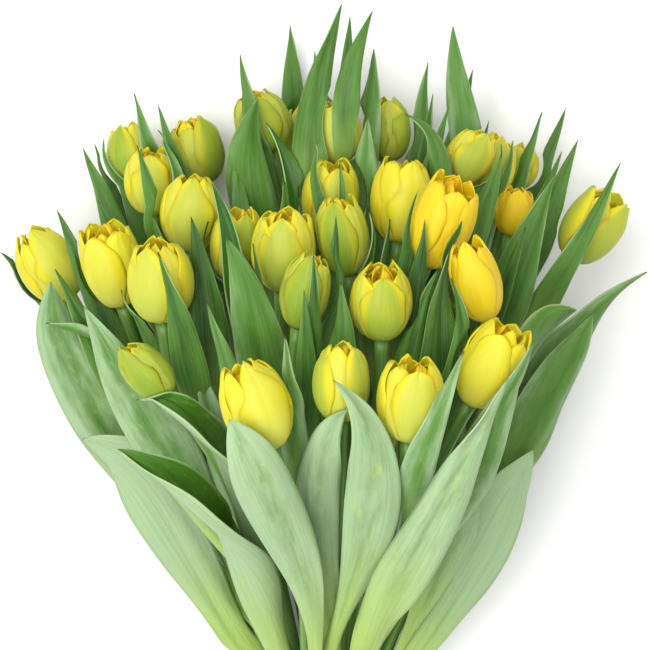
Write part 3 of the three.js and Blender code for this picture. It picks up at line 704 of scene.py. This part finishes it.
# Waves of a blade at its margins, in its middle and sideways: height, and turns along and across in radians.
# A leaf sways by chance, in mm, and more where it is broad.
MARGIN_WAVES = ((1, 7, 2), (0.8, 15, 3), (0.35, 27, 4))
MIDDLE_WAVES = ((0.6, 9, 3.5),)
SIDE_WAVES = ((0.5, 11, 0),)
LEAF_SWAY = dict(by_chance=(0.6, 1.1), width=14, most=2.0)

# By chance: how far a tip twists in radians and how much paler or darker a leaf is
LEAF_CHANCE = dict(twist=0.9, tint=0.1)

# The crease along the middle, as shares of the half width: how deep and how wide
LEAF_CREASE = dict(deep=0.09, wide=0.2)

# Between which shares of its length a leaf opens upwards, turns, twists its tip, starts to wave, comes to
# rest at its tip and gets its crease
LEAF_SPANS = dict(
    opens=(0, 0.4), turns=(0.25, 0.75), twists=(0.65, 1), waves=(0, 0.25), rests=(1, 0.85), creases=(0, 0.1),
)

# How far apart in the noise the patterns of two leaves are, for a radian between their waves
PATTERN_APART = 20

# How pale a leaf is, from its waxy film and from painted shade. Tips high in the picture have a little more
# of it, tips low in it and broad leaves have much more, tips between these, deep among the blooms, are
# painted darker as shade, and the leaves that lie low behind the others are painted darkest, as shade.
WAX_AND_SHADE = dict(usual=0.22, back=0.2, front=0.58, broad=0.3, painted_shade_low=-0.1)
BACK_DOWN = (210, 130)
FRONT_DOWN = (230, 420)
BROAD_WIDE = (22, 34)


def leaf_half_width(t, leaf):
    """The half width of a leaf at a share of its length: a narrow sheath, a broad middle, a pointed tip."""
    broadest = leaf["broadest"]
    if t < broadest:
        share = blend(leaf["sheath"], 1, ramp(t, LEAF_SHEATH_END, broadest))
    else:
        share = 1 - ((t - broadest) / (1 - broadest)) ** leaf["blunt"]
    return leaf["wide"] / 2 * share


def leaf_cup(t):
    """How far a leaf curls round its middle, in radians to each side: it clasps the stem and opens out."""
    middle_at = LEAF_CUP["middle_at"]
    if t < middle_at:
        return blend(LEAF_CUP["foot"], LEAF_CUP["middle"], t / middle_at)
    return blend(LEAF_CUP["middle"], LEAF_CUP["tip"], (t - middle_at) / (1 - middle_at))


def leaf_middle(leaf, line):
    """The curve of a leaf's middle, and its outward direction at the foot."""
    tip = seen(leaf["tip"])
    root = leaf.get("root", max(LEAF_ROOT_Y, tip.y - LEAF_SHORTEST - LEAF_PER_WIDTH * leaf["wide"]))
    place, ahead = on_line(line, root)
    outward = (square_to(ahead, tip - place) + square_to(ahead, UP) * LEAF_BEND["up"]).normalized()
    foot = place + outward * STEM_WIDTH * LEAF_BEND["foot"]
    if "via" in leaf:
        return curve_through(foot, *map(seen, leaf["via"]), tip), outward
    span = (tip - foot).length
    away = Vector((tip.x, tip.y, 0)).normalized()
    away.rotate(Matrix.Rotation(-math.radians(leaf["lean"]), 3, "Z"))
    bent = Vector((leaf["side"], 0, leaf["bow"])) * LEAF_BEND["middle"]
    first = foot + ahead * (span * LEAF_BEND["start"]) + outward * (span * LEAF_BEND["away"]) + bent
    second = tip - away * (span * LEAF_BEND["end"]) + bent
    return (foot, first, second, tip), outward


def usual_wax_and_shade(leaf):
    """How pale a leaf is that isn't given its own: its waxy film, lessened where painted shade darkens it."""
    if leaf["cup"] == LOW_CUP:
        # The leaves that lie low behind the others are painted dark, as shade.
        return WAX_AND_SHADE["painted_shade_low"]
    down = leaf["tip"][1]
    # Tips between high and low in the picture lie deep among the blooms and are painted darker, as shade.
    picture = WAX_AND_SHADE["back"] * ramp(down, *BACK_DOWN) + WAX_AND_SHADE["front"] * ramp(down, *FRONT_DOWN)
    return WAX_AND_SHADE["usual"] + picture + WAX_AND_SHADE["broad"] * ramp(leaf["wide"], *BROAD_WIDE)


def add_leaf(bm, layers, leaf, tulip, blooms, chance):
    """Adds a cupped leaf with waved margins, a crease and a twisted tip, clear of the blooms."""
    ends, outward = leaf_middle(leaf, tulip["line"])
    wide = leaf["wide"]
    length = (ends[3] - ends[0]).length
    cupped = leaf["cup"]
    turn = math.radians(leaf["turn"])
    starts = [chance.uniform(0, 2 * math.pi) for _ in range(4)]
    sway = chance.uniform(*LEAF_SWAY["by_chance"]) * min(wide / LEAF_SWAY["width"], LEAF_SWAY["most"])
    tip_twist = chance.uniform(-LEAF_CHANCE["twist"], LEAF_CHANCE["twist"])
    # The tint carries the waxy film and painted shade together; a given waxy value stands for both.
    tint = leaf.get("waxy", usual_wax_and_shade(leaf)) + chance.uniform(-LEAF_CHANCE["tint"], LEAF_CHANCE["tint"])

    def place(u, t):
        centre = bezier(ends, t)
        tangent = bezier_ahead(ends, t)
        opened = ramp(t, *LEAF_SPANS["opens"])
        normal = square_to(tangent, outward.lerp(square_to(tangent, UP), opened))
        twist = turn * ramp(t, *LEAF_SPANS["turns"]) + tip_twist * ramp(t, *LEAF_SPANS["twists"])
        normal.rotate(Matrix.Rotation(twist, 3, tangent))
        side = tangent.cross(normal)
        half = leaf_half_width(t, leaf)
        cup = leaf_cup(t) * cupped
        point = centre + side * (math.sin(u * cup) / cup * half)
        point -= normal * ((1 - math.cos(u * cup)) / cup * half)
        swayed = sway * ramp(t, *LEAF_SPANS["waves"]) * ramp(t, *LEAF_SPANS["rests"])
        point += normal * (swayed * waves(MARGIN_WAVES, starts, u, t) * abs(u) ** 2)
        point += normal * (swayed * waves(MIDDLE_WAVES, starts[3:], u, t) * (1 - abs(u)))
        crease = LEAF_CREASE["deep"] * half * math.exp(-((u / LEAF_CREASE["wide"]) ** 2))
        crease *= ramp(t, *LEAF_SPANS["creases"])
        point -= normal * math.copysign(crease, cup)
        point += side * (swayed * waves(SIDE_WAVES, starts[2:], u, t) * abs(u))
        if wide < NARROW_LEAF:
            point += clear_of_blooms(centre.copy(), blooms) - centre
        clear_of_blooms(point, blooms)
        point.z = max(point.z, LEAF_LOWEST)
        return point

    def marks(u, t):
        return Vector((u * wide / 2, t * length, starts[3] * PATTERN_APART)), Vector((abs(u), t, tint))

    columns = LEAF_GRID["columns"] + 2 * round(wide / LEAF_GRID["pair_wide"])
    rows = LEAF_GRID["rows"] + 2 * round(length / LEAF_GRID["pair_long"])
    sheet = bent_sheet(bm, layers, columns, rows, place, marks)
    if cupped < 0:
        bmesh.ops.reverse_faces(bm, faces=sheet)


def make_leaves(tulip, blooms, materials):
    """The leaves of one stem, as one piece."""
    bm = bmesh.new()
    layers = layers_of(bm)
    chance = random.Random(LEAF_SEED + tulip["number"])
    for leaf in tulip["leaves"]:
        add_leaf(bm, layers, leaf, tulip, blooms, chance)
    piece = new_piece(f"leaves_{tulip['number']:02d}", bm, materials)
    give_thickness(piece, bpy.context.scene.tulip_bunch.leaf_thickness, inner=1)
    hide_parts(node_of(tulip))


# The tie

# Steps round the bunch and round the band's section, how blunt the section is, and the skin's size in mm
TIE_GRID = (144, 20)
TIE_BLUNT = dict(out=0.6, along=0.5)
TIE_SKIN = (80, 15)


def blunted(share, power):
    """A sine or cosine made blunter, with its sign kept."""
    return math.copysign(abs(share) ** power, share)


def make_tie(tulips, materials):
    """An elastic band with rounded edges, pulled round the outermost stems."""
    sites = [on_line(tulip["line"], side * TIE_WIDE / 2)[0] for tulip in tulips for side in (-1, 1)]
    middle = STEM_WIDTH / 2 + TIE_SLACK + TIE_THICK / 2
    bm = bmesh.new()

    def place(u, t):
        turn = -u * math.pi + math.pi / 2
        around = Vector((math.cos(turn), 0, math.sin(turn)))
        outermost = max(sites, key=lambda site: site.dot(around))
        section = t * 2 * math.pi
        out = blunted(math.cos(section), TIE_BLUNT["out"]) * TIE_THICK / 2
        along = blunted(math.sin(section), TIE_BLUNT["along"]) * TIE_WIDE / 2
        return Vector((outermost.x, along, outermost.z)) + around * (middle + out)

    def marks(u, t):
        return Vector((u * TIE_SKIN[0], t * TIE_SKIN[1], 0)), Vector((0, t, 0))

    bent_sheet(bm, layers_of(bm), *TIE_GRID, place, marks)
    piece = new_piece("tie_band", bm, materials)
    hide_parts("tie")


# Materials

# What add() can make: the kind of node, its settings, its output and its inputs in order. Outputs and inputs
# go by number where several have one name.
NODES = {
    "attribute": ("ShaderNodeAttribute", {}, "Vector", ()),
    "place": ("ShaderNodeTexCoord", {}, "Object", ()),
    "parts": ("ShaderNodeSeparateXYZ", {}, None, ("Vector",)),
    "stretch": ("ShaderNodeMapping", {}, "Vector", ("Vector", "Scale")),
    "noise": ("ShaderNodeTexNoise", {}, 0, ("Vector", "Scale", "Detail", "Roughness")),
    "ease": ("ShaderNodeMapRange", {"interpolation_type": "SMOOTHSTEP"}, 0, (0, 1, 2, 3, 4)),
    "mix": ("ShaderNodeMix", {"data_type": "RGBA"}, 2, (0, 6, 7)),
    "sum": ("ShaderNodeMath", {"operation": "ADD"}, 0, (0, 1)),
    "product": ("ShaderNodeMath", {"operation": "MULTIPLY"}, 0, (0, 1)),
    "larger": ("ShaderNodeMath", {"operation": "MAXIMUM"}, 0, (0, 1)),
    "bump": ("ShaderNodeBump", {}, "Normal", ("Height", "Strength", "Distance", "Normal")),
}


def linear(colour):
    """The linear RGBA of an sRGB hex colour."""
    shares = [int(colour[k:k + 2], 16) / 255 for k in (1, 3, 5)]
    return (*(s / 12.92 if s <= 0.04045 else ((s + 0.055) / 1.055) ** 2.4 for s in shares), 1)


def give(tree, node, inputs):
    """Gives a node's inputs, by name or number, a value, a hex colour or a socket to link."""
    for key, value in inputs.items():
        if isinstance(value, bpy.types.NodeSocket):
            tree.links.new(value, node.inputs[key])
        else:
            node.inputs[key].default_value = linear(value) if isinstance(value, str) else value


def add(tree, kind, *values, **settings):
    """Adds a node with its settings and links. Returns its output, or all of them for parts."""
    made, usual, output, inputs = NODES[kind]
    node = tree.nodes.new(made)
    for name, value in {**usual, **settings}.items():
        setattr(node, name, value)
    give(tree, node, dict(zip(inputs, values)))
    return node.outputs if output is None else node.outputs[output]


def fibres(tree, grain, wide, long, detail=3.0, roughness=0.55):
    """A noise of fibres that are about so many mm wide and long."""
    stretched = add(tree, "stretch", grain, (1 / wide, 1 / long, 1))
    return add(tree, "noise", stretched, 1.0, detail, roughness)


def tinted(tree, colour, other, value, *span):
    """A colour that turns into another one as a value passes a span."""
    return add(tree, "mix", add(tree, "ease", value, *span), colour, other)


def started(name):
    """A new material with its node tree and shader."""
    material = bpy.data.materials.new(name)
    material.use_nodes = True
    tree = material.node_tree
    return material, tree, tree.nodes["Principled BSDF"]


def attributes_of(tree):
    """The places along a piece's fibres in mm, and its edge, share and tint."""
    grain = add(tree, "attribute", attribute_name="grain")
    form = add(tree, "attribute", attribute_name="form")
    return grain, *add(tree, "parts", form)


def petal_material(settings):
    """Fresh tulip petal: waxy and thin, yellow at its edge, green on its back, gold in the heart."""
    material, tree, shader = started("fresh_tulip_petal")
    grain, edge, share, hue = attributes_of(tree)
    fine = fibres(tree, grain, wide=0.455, long=10)
    broad = fibres(tree, grain, wide=2.86, long=33.3, detail=2.0)
    inside = add(tree, "ease", edge, 0.95, 0.35)
    back = add(tree, "product", inside, add(tree, "ease", hue, -0.5, 0.6, 0.0, 0.9))
    back = add(tree, "product", back, add(tree, "ease", broad, 0.25, 0.75, 0.8, 1.05))
    # Green at the foot of each petal: partly the real green base of a flushed bloom, partly painted shade of
    # its lower part.
    foot = add(tree, "ease", share, 0.6, 0.0)
    foot = add(tree, "product", foot, add(tree, "ease", hue, -0.3, 0.6, 0.0, 0.7))
    young = add(tree, "ease", hue, 0.35, 1.0, 0.0, 0.75)
    flushed = add(tree, "larger", add(tree, "sum", back, foot), young)
    yellow = tinted(tree, "#dfc90c", settings.petal_colour, broad, 0.3, 0.7)
    yellow = tinted(tree, yellow, settings.heart_colour, hue, 0.0, -0.8)
    green = tinted(tree, "#cdd252", settings.flush_colour, hue, 0.05, 0.8)
    colour = tinted(tree, yellow, green, flushed, 0.0, 1.0, 0.0, 0.95)
    colour = tinted(tree, colour, "#e0da7c", fine, 0.45, 0.75, 0.0, 0.15)
    give(tree, shader, {
        "Base Color": colour, "Roughness": 0.5, "Specular IOR Level": 0.25,
        "Subsurface Weight": 0.35, "Subsurface Radius": (1.0, 1.0, 0.25), "Subsurface Scale": 0.005,
        "Normal": add(tree, "bump", fine, 0.25, 0.0003),
    })
    return material


# The two faces of a leaf. The inner one has little wax, so it is darker and a little glossier. Each face runs
# from its deep green, which is painted shade, through fresh to pale as its tint grows.
OUTER_FACE = dict(fresh="#4a7826", deep="#1f4708", base="#a3bd5c", vein="#688f3e", roughness=0.55)
INNER_FACE = dict(
    pale="#437518", fresh="#2e5f0a", deep="#1e4206", base="#7a9c3a", vein="#2e5a12", roughness=0.45,
)


def leaf_material(name, pale, fresh, deep, base, vein, roughness):
    """Tulip leaf: close parallel veins under a waxy film, yellow-green at its foot, with a light margin.
    Where its tint is low, it is painted dark green as shade.
    """
    material, tree, shader = started(name)
    grain, edge, share, tint = attributes_of(tree)
    veins = fibres(tree, grain, wide=0.714, long=83.3)
    patches = fibres(tree, grain, wide=4.55, long=20, detail=4.0)
    scuffs = fibres(tree, grain, wide=3.33, long=6.25, detail=5.0)
    # film is the waxy film and painted shade together: low values paint the leaf deep green, as shade.
    film = add(tree, "sum", tint, add(tree, "ease", patches, 0.25, 0.75, -0.1, 0.1))
    film = add(tree, "sum", film, add(tree, "ease", edge, 0.0, 1.0, -0.1, 0.15))
    colour = tinted(tree, deep, fresh, film, 0.0, 0.5)
    colour = tinted(tree, colour, pale, film, 0.45, 0.95)
    colour = tinted(tree, colour, base, share, 0.6, 0.15, 0.0, 0.95)
    colour = tinted(tree, colour, vein, veins, 0.42, 0.72, 0.0, 0.35)
    scuffed = add(tree, "ease", scuffs, 0.55, 0.7, 0.0, 0.45)
    scuffed = add(tree, "product", scuffed, add(tree, "ease", tint, 0.4, 0.9))
    colour = add(tree, "mix", scuffed, colour, base)
    colour = tinted(tree, colour, "#afc38e", edge, 0.9, 1.0, 0.0, 0.5)
    veined = add(tree, "bump", veins, 0.3, 0.0004)
    give(tree, shader, {
        "Base Color": colour, "Roughness": roughness, "Specular IOR Level": 0.35,
        "Subsurface Weight": 0.12, "Subsurface Radius": (0.4, 1.0, 0.1), "Subsurface Scale": 0.0015,
        "Normal": add(tree, "bump", scuffs, 0.3, 0.0015, veined),
    })
    return material


def stem_material():
    """Fresh cut stem: smooth and pale green, a little striped along its length, lighter towards the cut."""
    material, tree, shader = started("fresh_tulip_stem")
    grain, _, share, _ = attributes_of(tree)
    stripes = fibres(tree, grain, wide=1.11, long=100)
    colour = tinted(tree, "#527c2c", "#6f9644", stripes, 0.35, 0.7)
    colour = tinted(tree, colour, "#a6b87e", share, 0.3, 0.0)
    give(tree, shader, {
        "Base Color": colour, "Roughness": 0.4,
        "Subsurface Weight": 0.1, "Subsurface Radius": (0.4, 1.0, 0.15), "Subsurface Scale": 0.002,
    })
    return material


def tie_material():
    """Green rubber band: dull, with faint lines along its stretch."""
    material, tree, shader = started("rubber_band")
    grain, *_ = attributes_of(tree)
    lines = fibres(tree, grain, wide=20, long=0.333)
    colour = tinted(tree, "#4b5d29", "#617538", lines, 0.35, 0.7)
    bump = add(tree, "bump", lines, 0.3, 0.0002)
    give(tree, shader, {"Base Color": colour, "Roughness": 0.65, "Normal": bump})
    return material


def floor_material():
    """Matt painted board: near white, so that the light comes back up softly."""
    material, tree, shader = started("matt_painted_board")
    mottle = add(tree, "noise", add(tree, "place"), 3.0, 2.0)
    colour = tinted(tree, "#f4f4f2", "#f8f8f6", mottle, 0.3, 0.7)
    give(tree, shader, {"Base Color": colour, "Roughness": 0.9})
    return material


# The stage, in metres. A lamp has its place, its side and its share of the lamp power.
LAMPS = {
    "front_lamp": dict(place=(-0.5, 0.1, 1.6), side=1.6, share=1.0),
    "back_lamp": dict(place=(1.1, 0.9, 1.3), side=1.0, share=0.15),
}
LAMP_AIM = Vector((VIEW_ACROSS, VIEW_ALONG, 60)) * MM
ROOM_LIGHT = 0.62


def lay_floor(side):
    """The square floor that the bunch lies on."""
    bm = bmesh.new()
    bmesh.ops.create_grid(bm, x_segments=1, y_segments=1, size=side / 2)
    mesh = bpy.data.meshes.new("floor")
    bm.to_mesh(mesh)
    bm.free()
    mesh.materials.append(floor_material())
    floor = bpy.data.objects.new("floor", mesh)
    bpy.context.collection.objects.link(floor)


def hang_lamp(name, place, side, share):
    """A large square lamp that faces the bunch."""
    light = bpy.data.lights.new(name, "AREA")
    light.shape = "SQUARE"
    light.size = side
    light.energy = bpy.context.scene.tulip_bunch.lamp_power * share
    lamp = bpy.data.objects.new(name, light)
    lamp.location = place
    lamp.rotation_euler = (LAMP_AIM - lamp.location).to_track_quat("-Z", "Y").to_euler()
    bpy.context.collection.objects.link(lamp)


def light_room():
    """An even white light from all sides, shown as it is."""
    world = bpy.data.worlds.new("soft_white_room")
    world.use_nodes = True
    give(world.node_tree, world.node_tree.nodes["Background"], {"Color": "#ffffff", "Strength": ROOM_LIGHT})
    bpy.context.scene.world = world
    bpy.context.scene.view_settings.view_transform = "Standard"


def hang_camera():
    """The camera, straight above the bunch."""
    camera = bpy.data.cameras.new("overhead_camera")
    camera.lens = camera.sensor_width * VIEW_PIXELS / PICTURE_SIDE
    holder = bpy.data.objects.new("overhead_camera", camera)
    holder.location = Vector((VIEW_ACROSS, VIEW_ALONG, VIEW_EYE)) * MM
    bpy.context.collection.objects.link(holder)
    bpy.context.scene.camera = holder


# Settings that a user would change

def colour_setting(name, description, colour):
    """A colour that the panel shows, from its sRGB hex default."""
    return bpy.props.FloatVectorProperty(
        name=name, description=description, subtype="COLOR", size=4, default=linear(colour), min=0.0, max=1.0,
    )


class BunchSettings(bpy.types.PropertyGroup):
    """Sizes and colours of the bunch and its stage."""

    petal_colour: colour_setting("Petal colour", "Colour of the petals at their edges", "#e0d41e")
    heart_colour: colour_setting("Heart colour", "Colour of the petals in the heart of a bloom", "#f2bf16")
    flush_colour: colour_setting("Flush colour", "Green along the backs of young petals", "#7d9c2b")
    wax_colour: colour_setting("Wax colour", "Colour of the waxy film on the leaves", "#99b389")
    petal_thickness: bpy.props.FloatProperty(
        name="Petal thickness", description="Thickness of a petal in mm", default=0.5, min=0.2, max=1.0,
    )
    leaf_thickness: bpy.props.FloatProperty(
        name="Leaf thickness", description="Thickness of a leaf in mm", default=0.7, min=0.3, max=1.5,
    )
    floor_side: bpy.props.FloatProperty(
        name="Floor side", description="Side of the square floor", default=6.0, unit="LENGTH",
    )
    lamp_power: bpy.props.FloatProperty(
        name="Lamp power", description="Power of the large soft lamp in watts", default=35.0, min=0.0,
    )


class TULIPS_OT_blooms(bpy.types.Operator):
    """Model every bloom, with its outer, inner and ruffled middle petals"""

    bl_idname = "tulips.blooms"
    bl_label = "Blooms"

    def execute(self, context):
        materials = [petal_material(context.scene.tulip_bunch)]
        for bloom in prepare():
            make_bloom(bloom, materials)
        return {"FINISHED"}


class TULIPS_OT_stems(bpy.types.Operator):
    """Model every stem, from its cut end to its bloom"""

    bl_idname = "tulips.stems"
    bl_label = "Stems"

    def execute(self, context):
        materials = [stem_material()]
        for tulip in prepare():
            make_stem(tulip, materials)
        return {"FINISHED"}


class TULIPS_OT_leaves(bpy.types.Operator):
    """Model the leaves of every stem"""

    bl_idname = "tulips.leaves"
    bl_label = "Leaves"

    def execute(self, context):
        wax = context.scene.tulip_bunch.wax_colour
        outer = leaf_material("waxy_leaf_outer_face", pale=wax, **OUTER_FACE)
        inner = leaf_material("smooth_leaf_inner_face", **INNER_FACE)
        tulips = prepare()
        for tulip in tulips:
            make_leaves(tulip, tulips, [outer, inner])
        return {"FINISHED"}


class TULIPS_OT_tie(bpy.types.Operator):
    """Model the elastic band round the stems"""

    bl_idname = "tulips.tie"
    bl_label = "Tie"

    def execute(self, context):
        make_tie(prepare(), [tie_material()])
        return {"FINISHED"}


class TULIPS_OT_stage(bpy.types.Operator):
    """Lay the pale floor, hang the soft lamps and set up the camera"""

    bl_idname = "tulips.stage"
    bl_label = "Stage"

    def execute(self, context):
        lay_floor(context.scene.tulip_bunch.floor_side)
        for name, lamp in LAMPS.items():
            hang_lamp(name, **lamp)
        light_room()
        hang_camera()
        return {"FINISHED"}


class TULIPS_PT_bunch(bpy.types.Panel):
    """The sizes and colours of the bunch and the buttons that make its pieces"""

    bl_label = "Bunch of tulips"
    bl_space_type = "VIEW_3D"
    bl_region_type = "UI"
    bl_category = "Tulips"

    def draw(self, context):
        for name in BunchSettings.__annotations__:
            self.layout.prop(context.scene.tulip_bunch, name)
        for operator in OPERATORS:
            self.layout.operator(operator.bl_idname)


OPERATORS = (TULIPS_OT_stage, TULIPS_OT_blooms, TULIPS_OT_stems, TULIPS_OT_leaves, TULIPS_OT_tie)
CLASSES = (BunchSettings, *OPERATORS, TULIPS_PT_bunch)


def register():
    """Registers the classes and the settings of the scene."""
    for each in CLASSES:
        bpy.utils.register_class(each)
    bpy.types.Scene.tulip_bunch = bpy.props.PointerProperty(type=BunchSettings)


def unregister():
    """Takes the settings and the classes away again."""
    del bpy.types.Scene.tulip_bunch
    for each in reversed(CLASSES):
        bpy.utils.unregister_class(each)


def main():
    """Makes the whole scene."""
    register()
    bpy.ops.tulips.stage()
    bpy.ops.tulips.blooms()
    bpy.ops.tulips.stems()
    bpy.ops.tulips.leaves()
    bpy.ops.tulips.tie()


if __name__ == "__main__":
    main()
